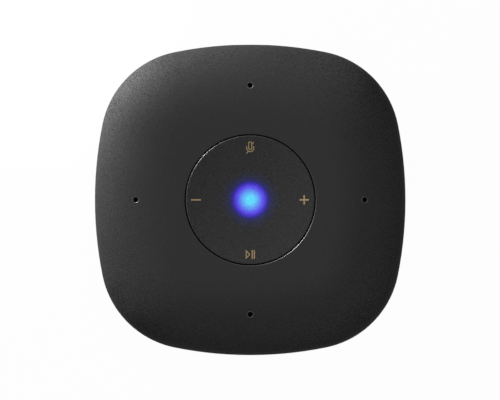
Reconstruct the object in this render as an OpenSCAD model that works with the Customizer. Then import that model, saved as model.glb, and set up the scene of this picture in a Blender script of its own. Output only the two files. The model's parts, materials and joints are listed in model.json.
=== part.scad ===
// Conference speakerphone: a soft-square table unit with a rocking control disc in its top,
// four microphone ports, and a loudspeaker that fires down and out through a slotted band.
// Millimetres. The unit stands on z = 0, its front is towards -Y and its port towards +Y.

/* [Body] */
// Width across the bowed sides
body_w = 120; // [118:1:122]
// Height from the table to the top
body_h = 44; // [43.5:0.5:50]
// Radius of the four corners
corner_r = 35.5; // [34.5:0.5:36.5]
// Half of the angle that each bowed side turns through
side_turn = 11.5; // [11:0.5:12]
// Height of the widest line
waist_z = 23; // [22.5:0.5:24]
// Moulded wall
wall = 2.2; // [1.8:0.1:2.4]

/* [Crown and belly] */
// Distance in from the outline over which the top curves before it runs flat
crown_reach = 31; // [29:0.5:31]
// Fullness of the crown curve
crown_power = 2.5; // [2.2:0.1:3]
// Distance in from the outline of the flat underside's edge
belly_reach = 15; // [13:0.5:15]
// Height of the underside above the table
base_z = 1.4; // [1:0.2:1.8]

/* [Control disc] */
// Diameter of the rocking disc
disc_d = 49.6; // [48.4:0.2:50.4]
// Gap round the disc
disc_gap = 0.45; // [0.3:0.05:0.6]
// Depth of the dish in the disc
dish_depth = 1.3; // [0.5:0.1:1.5]
// Radius on the disc's rim and on the edge of its well
edge_r = 0.4; // [0.2:0.05:0.5]
// Distance of the press points from the middle
press_r = 21; // [20.6:0.1:21.2]

/* [Microphones] */
// Distance of the ports from the middle
mic_r = 44.1; // [43:0.1:45]
// Diameter of a port
mic_d = 1.7; // [1.2:0.1:2]

/* [Grille] */
// Slots in each bowed side
side_slots = 16; // [8:1:18]
// Slots in each corner
corner_slots = 11; // [5:1:12]
// Width of a slot
slot_w = 1.7; // [1:0.1:1.9]

/* [Loudspeaker] */
// Radius of the frame's flange
flange_r = 28; // [28:0.5:29]
// Radius of the cone
cone_r = 19.2; // [18.8:0.1:19.4]
// Radius of the magnet
magnet_r = 15.5; // [14.8:0.1:16]

/* [Hidden] */
$fn = 160;
// Gap round a running pin, gap between seated pieces, and step at the housing's seams
fit_gap = 0.06;
seat_gap = 0.15;
reveal = 0.3;
// Overlap that joins the solids of one piece, and how far a cut runs past a face
weld = 0.2;
past = 1;

// Screws: radius and height of the head, radius and length of the shank
housing_screw = [2.6, 1.8, 1.25, 18];
control_screw = [1.9, 1.1, 0.85, 6.2];
main_screw = [1.9, 1.1, 0.8, 4];
speaker_screw = [1.7, 1, 0.8, 3.4];
// Room round a shank in the boss that holds it, and in the pieces that it passes through
thread_room = 0.05;
pass_room = 0.25;

// Foot, base cover and grille band
foot_t = 2.4;
foot_in = 24;
foot_w = 6;
floor_t = 2;
floor_z = base_z + floor_t;
rim_z = 5;
lip_z = 15.7;
band_wall = 1.8;
tongue_z = 6.6;
screw_seat = 8;
screw_well_r = 3;

// Baffle and the seal on it
baffle_z = 14.6;
baffle_t = 2;
baffle_top = baffle_z + baffle_t;
baffle_inset = 3.4;
seal_t = 0.8;
rib_t = 1.2;
rib_reach = 5.2;

// Control board under the top
board_t = 1.2;
board_top = body_h - 11.4;
board_z = board_top - board_t;
board_r = 48.5;
board_post = 24;
notch_r = 4.6;

// Gimbal, disc and what lies under the disc
pivot_z = body_h - 7;
lug_rise = 1.8;
pin_r = 1;
lug_in = 15.4;
lug_t = 2.4;
lug_w = 5;
carrier_t = 1.4;
carrier_in = 11.5;
carrier_out = 17.6;
peg_r = 0.9;
peg_at = 14.2;
disc_r = disc_d / 2;
disc_under = body_h - 2.4;
well_r = disc_r + disc_gap;
collar_t = 1.2;
light_r = 6.8;
light_top = body_h - dish_depth - 0.75;
dome_r = 3;
dome_h = 0.9;
gasket_h = 1.8;
cloth_t = 0.2;

// Main board, with its ribbon cable and speaker lead
main_z = baffle_top + 2.8;
main_top = main_z + board_t;
main_x = 26;
main_y = [31, 53.4];
main_holes = [[-22, 34], [22, 34], [-22, 50.5], [22, 50.5]];
ribbon_at = [-16, 40];
ribbon_seat = 2;
terminal = [9, 2.4, 3];
lead_x = 2.6;
lead_y = [25.2, 36.4];
lead_top = main_top + 3;

// USB socket, at the back of a pocket that takes the plug's grip
port_w = 8.94;
port_h = 3.26;
port_len = 7.4;
port_wall = 0.3;
port_back = 1;
port_room = 0.2;
mouth = [port_w - 2 * port_wall, port_h - 2 * port_wall];
port_z = main_top + port_h / 2;
port_face = body_w / 2 - 5;
pocket_w = 13;
pocket_h = 7.2;
pocket_r = 2;
pocket_wall = 1.2;

// Loudspeaker, which hangs under the control board and faces down
gasket_t = 0.6;
flange_z = baffle_top + gasket_t;
flange_t = 1.2;
plate_z = flange_z + 7.2;
plate_t = 1.8;
magnet_t = 2.4;
magnet_z = plate_z + plate_t;
yoke_z = magnet_z + magnet_t;
pole_r = 6.2;
coil_r = 6.45;
coil_t = 0.3;
neck_r = coil_r + coil_t;
neck_z = flange_z + 4.2;
throat_r = 24;
speaker_screw_r = 25.8;

// Lengths that two neighbouring arcs share are kept to hundredths, so their ends meet exactly.
function snap(x) = round(100 * x) / 100;
centre_gap = snap((body_w / 2 - corner_r) / (1 + sin(side_turn) - cos(side_turn)));
side_r = corner_r + centre_gap;
corner_c = centre_gap * sin(side_turn);
side_c = corner_c - centre_gap * cos(side_turn);
sweep_reach = corner_r - 0.5;
core_half = snap(corner_c + 0.69 * (corner_r - crown_reach));
screw_inset = 19;
speaker_screw_c = speaker_screw_r * sqrt(0.5);
screw_c = snap(corner_c + (corner_r - screw_inset) * sqrt(0.5));
mic_inset = body_w / 2 - mic_r;

// Crown curve at a depth below the outer surface, from the widest line to the flat.
function crown_points(depth, steps) = [
  for (i = [0:steps])
    let (t = 90 * i / steps)
    [crown_reach - (crown_reach - depth) * pow(cos(t), 2 / crown_power),
     waist_z + (body_h - waist_z - depth) * pow(sin(t), 2 / crown_power)]
];
function crown_z(inset, depth = 0) =
  let (u = max(0, (crown_reach - inset) / (crown_reach - depth)))
  waist_z + (body_h - waist_z - depth) * pow(1 - pow(u, crown_power), 1 / crown_power);
function crown_slope(inset) = atan((crown_z(inset + 0.1) - crown_z(inset - 0.1)) / 0.2);

// Belly curve below the widest line.
function belly(z) = belly_reach * (1 - sqrt(1 - pow((waist_z - z) / (waist_z - base_z), 2)));
function belly_points(z0, z1, depth, steps) = [
  for (i = [0:steps])
    let (z = z0 + (z1 - z0) * i / steps)
    [belly(z) + depth, z]
];

function backwards(list) = [for (i = [len(list) - 1:-1:0]) list[i]];

// Quarter round about a centre, from one angle to another.
function arc(x, y, r, a0, a1, steps) = [
  for (i = [0:steps])
    let (a = a0 + (a1 - a0) * i / steps)
    [x + r * cos(a), y + r * sin(a)]
];

// Outline of a slot with round ends.
function pill(w, h) = concat(
  arc(w / 2 - h / 2, 0, h / 2, -90, 90, 10),
  arc(h / 2 - w / 2, 0, h / 2, 90, 270, 10)
);

// Outline of a rectangle with round corners.
function soft_box(w, h, r) = concat(
  arc(w / 2 - r, h / 2 - r, r, 0, 90, 6),
  arc(r - w / 2, h / 2 - r, r, 90, 180, 6),
  arc(r - w / 2, r - h / 2, r, 180, 270, 6),
  arc(w / 2 - r, r - h / 2, r, 270, 360, 6)
);

// Height inside the crown's wall over a post, where the post's top end is hidden.
function post_top(inset, r) = (crown_z(inset + r, wall) + crown_z(inset - r)) / 2;

module fine_translate(x, y) {
  translate([snap(x), snap(y), 0])
    translate([x - snap(x), y - snap(y), 0])
      children();
}

// Carries a profile round the outline. Its x is the distance in from the outline.
module sweep(profile) {
  for (side = [0:3])
    rotate(90 * side) {
      fine_translate(side_c, 0)
        rotate_extrude(angle = 2 * side_turn, start = -side_turn)
          polygon([for (p = profile) [side_r - snap(p[0]), snap(p[1])]]);
      fine_translate(corner_c, corner_c)
        rotate_extrude(angle = 90 - 2 * side_turn, start = side_turn)
          polygon([for (p = profile) [corner_r - snap(p[0]), snap(p[1])]]);
    }
}

// Flat middle of a swept plate.
module core(z, t) {
  translate([-core_half, -core_half, z])
    cube([2 * core_half, 2 * core_half, t]);
}

module ring(r_in, r_out, z, h) {
  rotate_extrude()
    translate([r_in, z])
      square([r_out - r_in, h]);
}

module rod(r, z0, z1) {
  translate([0, 0, z0])
    cylinder(r = r, h = z1 - z0);
}

module at_corners(d) {
  for (x = [-d, d], y = [-d, d])
    translate([x, y, 0])
      children();
}

module at_quarters(r) {
  for (a = [0:90:270])
    rotate(a)
      translate([r, 0, 0])
        children();
}

module along_x(r, x0, x1, z) {
  translate([x0, 0, z])
    rotate([0, 90, 0])
      cylinder(r = r, h = x1 - x0);
}

// Carries an outline along Y at the height of the socket.
module rear_bar(outline, y0, y1) {
  translate([0, y1, port_z])
    rotate([90, 0, 0])
      linear_extrude(y1 - y0)
        polygon(outline);
}

// Screws whose heads bear on the plane z = seat, with the shank up or down.
module screw_up(size, seat) {
  rod(size[0], seat - size[1], seat);
  rod(size[2], seat - weld, seat + size[3]);
}

module screw_down(size, seat) {
  rod(size[0], seat, seat + size[1]);
  rod(size[2], seat - size[3], seat + weld);
}

module top_shell() {
  boss_r = 3.4;
  boss_depth = 12;
  post_r = 2.5;
  post_depth = 6;
  mic_boss_r = 3;
  chamfer = 0.35;
  collar_w = 2.1;
  rib_z = baffle_top + seal_t;
  pocket_back = port_face - pocket_wall;
  profile = concat(
    [[belly(lip_z) + reveal, lip_z]],
    belly_points(lip_z + reveal, waist_z - 1, 0, 3),
    crown_points(0, 22),
    [[sweep_reach, body_h], [sweep_reach, body_h - wall]],
    backwards(crown_points(wall, 12)),
    [[belly(rib_z + rib_t) + wall, rib_z + rib_t],
     [rib_reach, rib_z + rib_t],
     [rib_reach, rib_z],
     [belly(rib_z) + wall, rib_z],
     [belly(lip_z) + wall, lip_z]]
  );
  color("#2d2d2e")
    difference() {
      union() {
        sweep(profile);
        core(body_h - wall, wall);
        rod(well_r + collar_w, body_h - wall - collar_t, body_h - wall / 2);
        at_corners(screw_c)
          rod(boss_r, baffle_top, post_top(screw_inset, boss_r));
        at_corners(board_post)
          rod(post_r, board_top, body_h - wall / 2);
        at_quarters(mic_r)
          rod(mic_boss_r, board_top + gasket_h + cloth_t, post_top(mic_inset, mic_boss_r));
        rear_bar(
          soft_box(pocket_w + 2 * pocket_wall, pocket_h + 2 * pocket_wall, pocket_r + pocket_wall),
          pocket_back, body_w / 2 - 0.7 * wall
        );
      }
      rotate_extrude()
        polygon(concat(
          [[0, body_h + past], [well_r + edge_r, body_h + past]],
          arc(well_r + edge_r, body_h - edge_r, edge_r, 90, 180, 5),
          [[well_r, body_h - wall - collar_t - past], [0, body_h - wall - collar_t - past]]
        ));
      at_corners(screw_c)
        rod(housing_screw[2] + thread_room, baffle_top - past, baffle_top + boss_depth);
      at_corners(board_post)
        rod(control_screw[2] + thread_room, board_top - past, board_top + post_depth);
      at_quarters(mic_r) {
        rod(mic_d / 2, board_top, body_h + past);
        translate([0, 0, crown_z(mic_inset)])
          rotate([0, crown_slope(mic_inset), 0])
            translate([0, 0, -chamfer])
              cylinder(r1 = mic_d / 2, r2 = mic_d / 2 + 2 * chamfer, h = 2 * chamfer);
      }
      rear_bar(pill(port_w + 2 * port_room, port_h + 2 * port_room), pocket_back - past, body_w);
      rear_bar(soft_box(pocket_w, pocket_h, pocket_r), port_face, body_w);
    }
}

module base_cover() {
  rim_in = belly(rim_z) + band_wall + seat_gap;
  flat_in = belly_reach + 0.6;
  tongue_w = 1.3;
  fillet = 1.7;
  column_r = 4.2;
  profile = concat(
    [[flat_in, base_z]],
    belly_points(base_z + 0.1, rim_z - reveal, 0, 8),
    [[belly(rim_z) + reveal, rim_z],
     [rim_in, rim_z],
     [rim_in, tongue_z],
     [rim_in + tongue_w, tongue_z],
     [rim_in + tongue_w + fillet, floor_z],
     [sweep_reach, floor_z],
     [sweep_reach, base_z]]
  );
  groove = [foot_in - seat_gap, foot_in + foot_w + seat_gap];
  color("#29292a")
    difference() {
      union() {
        sweep(profile);
        core(base_z, floor_t);
        at_corners(screw_c)
          rod(column_r, base_z + 0.5, baffle_z);
      }
      sweep([
        [groove[0], base_z - past], [groove[1], base_z - past],
        [groove[1], foot_t], [groove[0], foot_t]
      ]);
      at_corners(screw_c) {
        rod(screw_well_r, 0, screw_seat);
        rod(housing_screw[2] + pass_room, screw_seat - past, baffle_z + past);
      }
    }
}

module foot_ring() {
  foot_end = foot_in + foot_w;
  ease = 0.5;
  color("#1b1b1b")
    sweep([
      [foot_in + ease, 0], [foot_end - ease, 0], [foot_end, ease],
      [foot_end, foot_t], [foot_in, foot_t], [foot_in, ease]
    ]);
}

module grille_slot(r) {
  sill = tongue_z + 0.4;
  head = lip_z - 2.2;
  depth = 12;
  translate([r - depth, -slot_w / 2, sill])
    cube([depth + past, slot_w, head - sill]);
}

module grille_band() {
  band_top = lip_z - reveal;
  color("#242425")
    difference() {
      sweep(concat(
        [[belly(rim_z) + reveal, rim_z]],
        belly_points(rim_z + reveal, band_top - reveal, 0, 4),
        [[belly(band_top) + reveal, band_top]],
        backwards(belly_points(rim_z, band_top, band_wall, 3))
      ));
      for (side = [0:3])
        rotate(90 * side) {
          translate([side_c, 0, 0])
            for (i = [0:side_slots - 1])
              rotate(side_turn * (2 * (i + 0.5) / side_slots - 1))
                grille_slot(side_r);
          translate([corner_c, corner_c, 0])
            for (i = [0:corner_slots - 1])
              rotate(side_turn + (90 - 2 * side_turn) * (i + 0.5) / corner_slots)
                grille_slot(corner_r);
        }
    }
}

module dust_mesh() {
  z0 = tongue_z + seat_gap;
  z1 = baffle_z - seat_gap;
  mesh_t = 0.4;
  behind = band_wall + 0.25;
  color("#3a3a3c")
    sweep(concat(
      belly_points(z0, z1, behind, 3),
      backwards(belly_points(z0, z1, behind + mesh_t, 3))
    ));
}

module baffle_plate() {
  post_r = 2.2;
  blind = 0.4;
  color("#333334")
    difference() {
      union() {
        sweep([
          [baffle_inset, baffle_z], [sweep_reach, baffle_z],
          [sweep_reach, baffle_top], [baffle_inset, baffle_top]
        ]);
        core(baffle_z, baffle_t);
        for (p = main_holes)
          translate([p[0], p[1], 0])
            rod(post_r, baffle_top - weld, main_z);
      }
      rod(throat_r, baffle_z - past, baffle_top + past);
      at_corners(screw_c)
        rod(housing_screw[2] + pass_room, baffle_z - past, baffle_top + past);
      at_corners(speaker_screw_c)
        rod(speaker_screw[2] + thread_room, baffle_z - past, baffle_top + past);
      for (p = main_holes)
        translate([p[0], p[1], 0])
          rod(main_screw[2] + thread_room, baffle_z + blind, main_z + past);
    }
}

module chamber_seal() {
  color("#111111")
    sweep([
      [baffle_inset, baffle_top], [rib_reach, baffle_top],
      [rib_reach, baffle_top + seal_t], [baffle_inset, baffle_top + seal_t]
    ]);
}

module sound_deflector() {
  foot_r = 22;
  edge_t = 0.4;
  rise = 8.6;
  tip = 0.125;
  tip_h = 0.6;
  color("#202021")
    rotate_extrude()
      polygon(concat(
        [[0, floor_z], [foot_r, floor_z]],
        [for (i = [0:10])
          let (u = 1 - (1 - tip) * i / 10)
          [foot_r * u, floor_z + edge_t + rise * pow(1 - u, 2)]],
        [[0, floor_z + edge_t + rise * pow(1 - tip, 2) + tip_h]]
      ));
}

module housing_screws() {
  color("#8c8c90")
    at_corners(screw_c)
      screw_up(housing_screw, screw_seat);
}

module board_hole(r) {
  rod(r, board_z - past, board_top + past);
}

module control_board() {
  sound_hole_r = 0.5;
  color("#1d5a38")
    difference() {
      rod(board_r, board_z, board_top);
      at_corners(screw_c)
        board_hole(notch_r);
      at_corners(board_post)
        board_hole(control_screw[2] + pass_room);
      at_quarters(mic_r)
        board_hole(sound_hole_r);
      rotate(45)
        at_quarters(peg_at)
          board_hole(peg_r + fit_gap);
    }
}

module control_board_screws() {
  color("#8c8c90")
    at_corners(board_post)
      screw_up(control_screw, board_z);
}

// Upright ear that a gimbal pin runs in.
module lug(z0, z1) {
  translate([lug_in, -lug_w / 2, z0])
    cube([lug_t, lug_w, z1 - z0]);
}

module gimbal_carrier() {
  peg_end = 0.4;
  color("#4b4b4d")
    difference() {
      union() {
        ring(carrier_in, carrier_out, board_top, carrier_t);
        rotate(45)
          at_quarters(peg_at)
            rod(peg_r, board_z - peg_end, board_top + weld);
        for (a = [90, 270])
          rotate(a)
            lug(board_top + carrier_t - weld, pivot_z + lug_rise);
      }
      for (a = [90, 270])
        rotate(a)
          along_x(pin_r + fit_gap, lug_in - past, lug_in + lug_t + past, pivot_z);
    }
}

module gimbal_ring() {
  ring_in = 11.8;
  ring_out = 14.8;
  half_t = 1.2;
  pin_end = 0.1;
  color("#c9c6bd")
    union() {
      ring(ring_in, ring_out, pivot_z - half_t, 2 * half_t);
      for (a = [0:90:270])
        rotate(a)
          along_x(pin_r, ring_out - past, lug_in + lug_t + pin_end, pivot_z);
    }
}

module control_disc() {
  skirt_in = 22.8;
  lip_r = well_r + 1.3;
  lip_drop = 1;
  lip_top = body_h - wall - collar_t - lip_drop;
  lip_t = 1.2;
  cup_out = light_r + 1.4;
  cup_z = disc_under - 1.6;
  nub_r = 1.4;
  nub_gap = 0.05;
  nub_z = board_top + dome_h + nub_gap;
  dish = [
    for (i = [0:12])
      let (r = (disc_r - edge_r) * i / 12)
      [r, body_h - dish_depth * (1 - pow(i / 12, 2))]
  ];
  color("#2d2d2e")
    difference() {
      union() {
        rotate_extrude()
          polygon(concat(
            dish,
            arc(disc_r - edge_r, body_h - edge_r, edge_r, 72, 0, 4),
            [[disc_r, lip_top], [lip_r, lip_top], [lip_r, lip_top - lip_t],
             [skirt_in, lip_top - lip_t], [skirt_in, disc_under],
             [cup_out, disc_under], [cup_out, cup_z],
             [light_r + fit_gap, cup_z], [light_r + fit_gap, light_top],
             [0, light_top]]
          ));
        for (a = [0, 180])
          rotate(a)
            lug(pivot_z - lug_rise, disc_under + weld);
        at_quarters(press_r)
          rod(nub_r, nub_z, disc_under + weld);
      }
      for (a = [0, 180])
        rotate(a)
          along_x(pin_r + fit_gap, lug_in - past, lug_in + lug_t + past, pivot_z);
    }
}

module light_diffuser() {
  drop = 2;
  air = 0.05;
  color("#e8f4ff")
    rod(light_r, disc_under - drop, light_top - air);
}

module status_led() {
  case_w = 5;
  case_h = 1.4;
  lens_r = 1.9;
  color("#f2efe2")
    union() {
      translate([-case_w / 2, -case_w / 2, board_top])
        cube([case_w, case_w, case_h]);
      rod(lens_r, board_top + case_h - weld, board_top + case_h + weld);
    }
}

// A thin spring dome that stands on the board under one press point.
module snap_dome(angle) {
  skin = 0.15;
  big_r = (pow(dome_r, 2) + pow(dome_h, 2)) / (2 * dome_h);
  centre = board_top + dome_h - big_r;
  half = asin(dome_r / big_r);
  inner_half = acos((big_r - dome_h) / (big_r - skin));
  color("#c4c6c8")
    rotate(angle)
      translate([press_r, 0, 0])
        rotate_extrude()
          polygon(concat(
            arc(0, centre, big_r, 90 - half, 90, 6),
            arc(0, centre, big_r - skin, 90, 90 - inner_half, 6)
          ));
}

module snap_dome_mute() {
  snap_dome(90);
}

module snap_dome_volume_up() {
  snap_dome(0);
}

module snap_dome_play() {
  snap_dome(270);
}

module snap_dome_volume_down() {
  snap_dome(180);
}

module mic_capsule(angle) {
  can = [3.8, 2.9, 1.1];
  color("#b9b5a6")
    rotate(angle)
      translate([mic_r - can[0] / 2, -can[1] / 2, board_z - can[2]])
        cube(can);
}

module mic_capsule_right() {
  mic_capsule(0);
}

module mic_capsule_back() {
  mic_capsule(90);
}

module mic_capsule_left() {
  mic_capsule(180);
}

module mic_capsule_front() {
  mic_capsule(270);
}

module mic_gasket(angle) {
  tube_in = 0.6;
  tube_out = 2.6;
  color("#3c3f42")
    rotate(angle)
      translate([mic_r, 0, 0])
        ring(tube_in, tube_out, board_top, gasket_h);
}

module mic_gasket_right() {
  mic_gasket(0);
}

module mic_gasket_back() {
  mic_gasket(90);
}

module mic_gasket_left() {
  mic_gasket(180);
}

module mic_gasket_front() {
  mic_gasket(270);
}

// Acoustic cloth that keeps dust out of one microphone port.
module mic_cloth(angle) {
  cloth_r = 2.4;
  color("#0e0e0e")
    rotate(angle)
      translate([mic_r, 0, 0])
        rod(cloth_r, board_top + gasket_h, board_top + gasket_h + cloth_t);
}

module mic_cloth_right() {
  mic_cloth(0);
}

module mic_cloth_back() {
  mic_cloth(90);
}

module mic_cloth_left() {
  mic_cloth(180);
}

module mic_cloth_front() {
  mic_cloth(270);
}

module speaker_frame() {
  mouth_r = 22.4;
  knee_r = 23.6;
  back_r = 17;
  back_in = 9.5;
  sheet = 1;
  window = [8, 6.5, 3.4];
  window_in = 16;
  window_sill = 0.9;
  color("#3b3b3d")
    difference() {
      rotate_extrude()
        polygon([
          [mouth_r, flange_z], [flange_r, flange_z], [flange_r, flange_z + flange_t],
          [knee_r, flange_z + flange_t], [back_r, plate_z], [back_in, plate_z],
          [back_in, plate_z - sheet], [back_r - sheet, plate_z - sheet],
          [mouth_r, flange_z + window_sill]
        ]);
      for (a = [30:60:330])
        rotate(a)
          translate([window_in, -window[1] / 2, flange_z + flange_t + window_sill])
            cube(window);
      at_corners(speaker_screw_c)
        rod(speaker_screw[2] + pass_room, flange_z - past, flange_z + flange_t + past);
    }
}

module speaker_gasket() {
  color("#151515")
    difference() {
      ring(throat_r, flange_r, baffle_top, gasket_t);
      at_corners(speaker_screw_c)
        rod(speaker_screw[2] + pass_room, baffle_top - past, flange_z + past);
    }
}

module speaker_screws() {
  color("#8c8c90")
    at_corners(speaker_screw_c)
      screw_down(speaker_screw, flange_z + flange_t);
}

module front_plate() {
  gap_r = 7;
  rim = 1;
  color("#9a9da0")
    ring(gap_r, magnet_r - rim, plate_z, plate_t);
}

module magnet_ring() {
  hole_r = 8.6;
  color("#44444a")
    ring(hole_r, magnet_r, magnet_z, magnet_t);
}

module yoke() {
  vent_r = 1.2;
  bevel = 0.3;
  pole_end = plate_z - 0.2;
  back_r = magnet_r - 0.6;
  back_bevel = 0.5;
  back_top = yoke_z + 1.6;
  color("#9a9da0")
    rotate_extrude()
      polygon([
        [vent_r, pole_end], [pole_r - bevel, pole_end], [pole_r, pole_end + bevel],
        [pole_r, yoke_z], [back_r, yoke_z], [back_r, back_top - back_bevel],
        [back_r - back_bevel, back_top], [vent_r, back_top]
      ]);
}

module voice_coil() {
  winding = 5;
  color("#b4693a")
    ring(coil_r, coil_r + coil_t, neck_z, winding);
}

module speaker_cone() {
  paper = 0.45;
  hollow = 0.7;
  curve = [
    for (i = [0:8])
      let (u = i / 8)
      [neck_r + (cone_r - neck_r) * u, neck_z * (1 - u) + flange_z * u - hollow * u * (1 - u)]
  ];
  color("#191919")
    rotate_extrude()
      polygon(concat(curve, backwards([for (p = curve) [p[0], p[1] + paper]])));
}

module dust_cap() {
  cap_r = 7.6;
  rise = 1.9;
  skin = 0.35;
  big_r = (pow(cap_r, 2) + pow(rise, 2)) / (2 * rise);
  half = asin(cap_r / big_r);
  seat = flange_z + 3.5;
  color("#141414")
    rotate_extrude()
      polygon(concat(
        arc(0, seat - rise + big_r, big_r, -90, half - 90, 8),
        arc(0, seat - rise + big_r, big_r - skin, half - 90, -90, 8)
      ));
}

module cone_surround() {
  skin = 0.5;
  roll_r = 1.45;
  roll_at = cone_r + 1.4;
  lap = 1;
  land_in = roll_at + roll_r - weld;
  land_out = throat_r - weld;
  color("#101010")
    rotate_extrude() {
      translate([cone_r - lap, flange_z - skin])
        square([lap, skin]);
      translate([land_in, flange_z - skin])
        square([land_out - land_in, skin]);
      polygon(concat(
        [[cone_r - weld, flange_z], [cone_r - weld, flange_z - skin]],
        arc(roll_at, flange_z - skin, roll_r, 180, 360, 12),
        [[roll_at + roll_r, flange_z]],
        arc(roll_at, flange_z - skin, roll_r - skin, 360, 180, 12),
        [[roll_at - roll_r + skin, flange_z]]
      ));
    }
}

module cone_spider() {
  skin = 0.25;
  outer = 12.8;
  mid = plate_z - 1.55;
  waves = 3;
  wave_h = 0.22;
  land = 1.8;
  line = [
    for (i = [0:24])
      [neck_r + (outer - neck_r) * i / 24, mid + wave_h * sin(360 * waves * i / 24)]
  ];
  color("#b58a3c")
    rotate_extrude() {
      polygon(concat(line, backwards([for (p = line) [p[0], p[1] + skin]])));
      translate([outer - weld / 2, mid])
        square([land, plate_z - 1 - mid]);
    }
}

module terminal_block() {
  color("#5a3d22")
    translate([-terminal[0] / 2, lead_y[0] - terminal[1] / 2, flange_z + flange_t])
      cube(terminal);
}

module terminal_tags() {
  tag = [1.4, 0.5];
  tag_z = flange_z + flange_t + terminal[2];
  color("#c9a24a")
    for (x = [-lead_x, lead_x])
      translate([x - tag[0] / 2, lead_y[0] - tag[1] / 2, tag_z])
        cube([tag[0], tag[1], lead_top - tag_z]);
}

module speaker_lead() {
  wire_r = 0.5;
  color("#7d1f1c")
    for (x = [-lead_x, lead_x])
      translate([x, (lead_y[0] + lead_y[1]) / 2, lead_top])
        rotate([90, 0, 90])
          rotate_extrude(angle = 180)
            translate([(lead_y[1] - lead_y[0]) / 2, 0])
              circle(r = wire_r);
}

module lead_plug() {
  plug = [9, 3.2];
  color("#e5dfcd")
    translate([-plug[0] / 2, lead_y[1] - plug[1] / 2, main_top])
      cube([plug[0], plug[1], lead_top - main_top]);
}

module main_board() {
  color("#1d5a38")
    difference() {
      translate([-main_x, main_y[0], main_z])
        cube([2 * main_x, main_y[1] - main_y[0], board_t]);
      for (p = main_holes)
        translate([p[0], p[1], 0])
          rod(main_screw[2] + pass_room, main_z - past, main_top + past);
    }
}

module main_board_screws() {
  color("#8c8c90")
    for (p = main_holes)
      translate([p[0], p[1], 0])
        screw_down(main_screw, main_top);
}

module shield_can() {
  can = [14, 11, 2.2];
  can_at = [5, 38.5];
  sheet = 0.3;
  color("#b8bcc0")
    translate([can_at[0], can_at[1], main_top])
      difference() {
        cube(can);
        translate([sheet, sheet, -past])
          cube([can[0] - 2 * sheet, can[1] - 2 * sheet, can[2] - sheet + past]);
      }
}

module usb_shell() {
  y0 = port_face - port_len;
  color("#b8bcc0")
    difference() {
      rear_bar(pill(port_w, port_h), y0, port_face);
      rear_bar(pill(mouth[0], mouth[1]), y0 + port_back, port_face + past);
    }
}

module usb_tongue() {
  y0 = port_face - port_len + port_back;
  side_gap = 0.1;
  root = 1.4;
  blade = [6.7, 4.6, 0.7];
  color("#1a1a1a")
    union() {
      rear_bar(pill(mouth[0] - side_gap, mouth[1] - side_gap), y0, y0 + root);
      translate([-blade[0] / 2, y0 + root - weld, port_z - blade[2] / 2])
        cube(blade);
    }
}

module ribbon_seat_block(z) {
  seat = [12, 4.4];
  color("#e5dfcd")
    translate([ribbon_at[0] - seat[0] / 2, ribbon_at[1] - seat[1] / 2, z])
      cube([seat[0], seat[1], ribbon_seat]);
}

module ribbon_socket_lower() {
  ribbon_seat_block(main_top);
}

module ribbon_socket_upper() {
  ribbon_seat_block(board_z - ribbon_seat);
}

// Flat cable that bows between the two boards.
module ribbon_cable() {
  z0 = main_top + ribbon_seat;
  z1 = board_z - ribbon_seat;
  chord = (z1 - z0) / 2;
  bow = 2;
  skin = 0.3;
  cable_w = 10;
  big_r = (pow(chord, 2) + pow(bow, 2)) / (2 * bow);
  half = asin(chord / big_r);
  inner_half = asin(chord / (big_r - skin));
  color("#d8d4c4")
    translate([ribbon_at[0] - cable_w / 2, ribbon_at[1] + bow - big_r, (z0 + z1) / 2])
      rotate([90, 0, 90])
        linear_extrude(cable_w)
          polygon(concat(
            arc(0, 0, big_r, -half, half, 14),
            arc(0, 0, big_r - skin, inner_half, -inner_half, 14)
          ));
}

top_shell();
base_cover();
foot_ring();
grille_band();
dust_mesh();
baffle_plate();
chamber_seal();
sound_deflector();
housing_screws();
control_board();
control_board_screws();
gimbal_carrier();
gimbal_ring();
control_disc();
light_diffuser();
status_led();
snap_dome_mute();
snap_dome_volume_up();
snap_dome_play();
snap_dome_volume_down();
mic_capsule_right();
mic_capsule_back();
mic_capsule_left();
mic_capsule_front();
mic_gasket_right();
mic_gasket_back();
mic_gasket_left();
mic_gasket_front();
mic_cloth_right();
mic_cloth_back();
mic_cloth_left();
mic_cloth_front();
speaker_frame();
speaker_gasket();
speaker_screws();
front_plate();
magnet_ring();
yoke();
voice_coil();
speaker_cone();
dust_cap();
cone_surround();
cone_spider();
terminal_block();
terminal_tags();
speaker_lead();
lead_plug();
main_board();
main_board_screws();
shield_can();
usb_shell();
usb_tongue();
ribbon_socket_lower();
ribbon_socket_upper();
ribbon_cable();
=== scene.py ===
# A soft-square table speakerphone: dark matte housing, rocking control disc, slotted grille band.
# Lengths are in metres. The rear, with its socket, is towards +Y, and the unit stands on z = 0.
import json
import math

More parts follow.
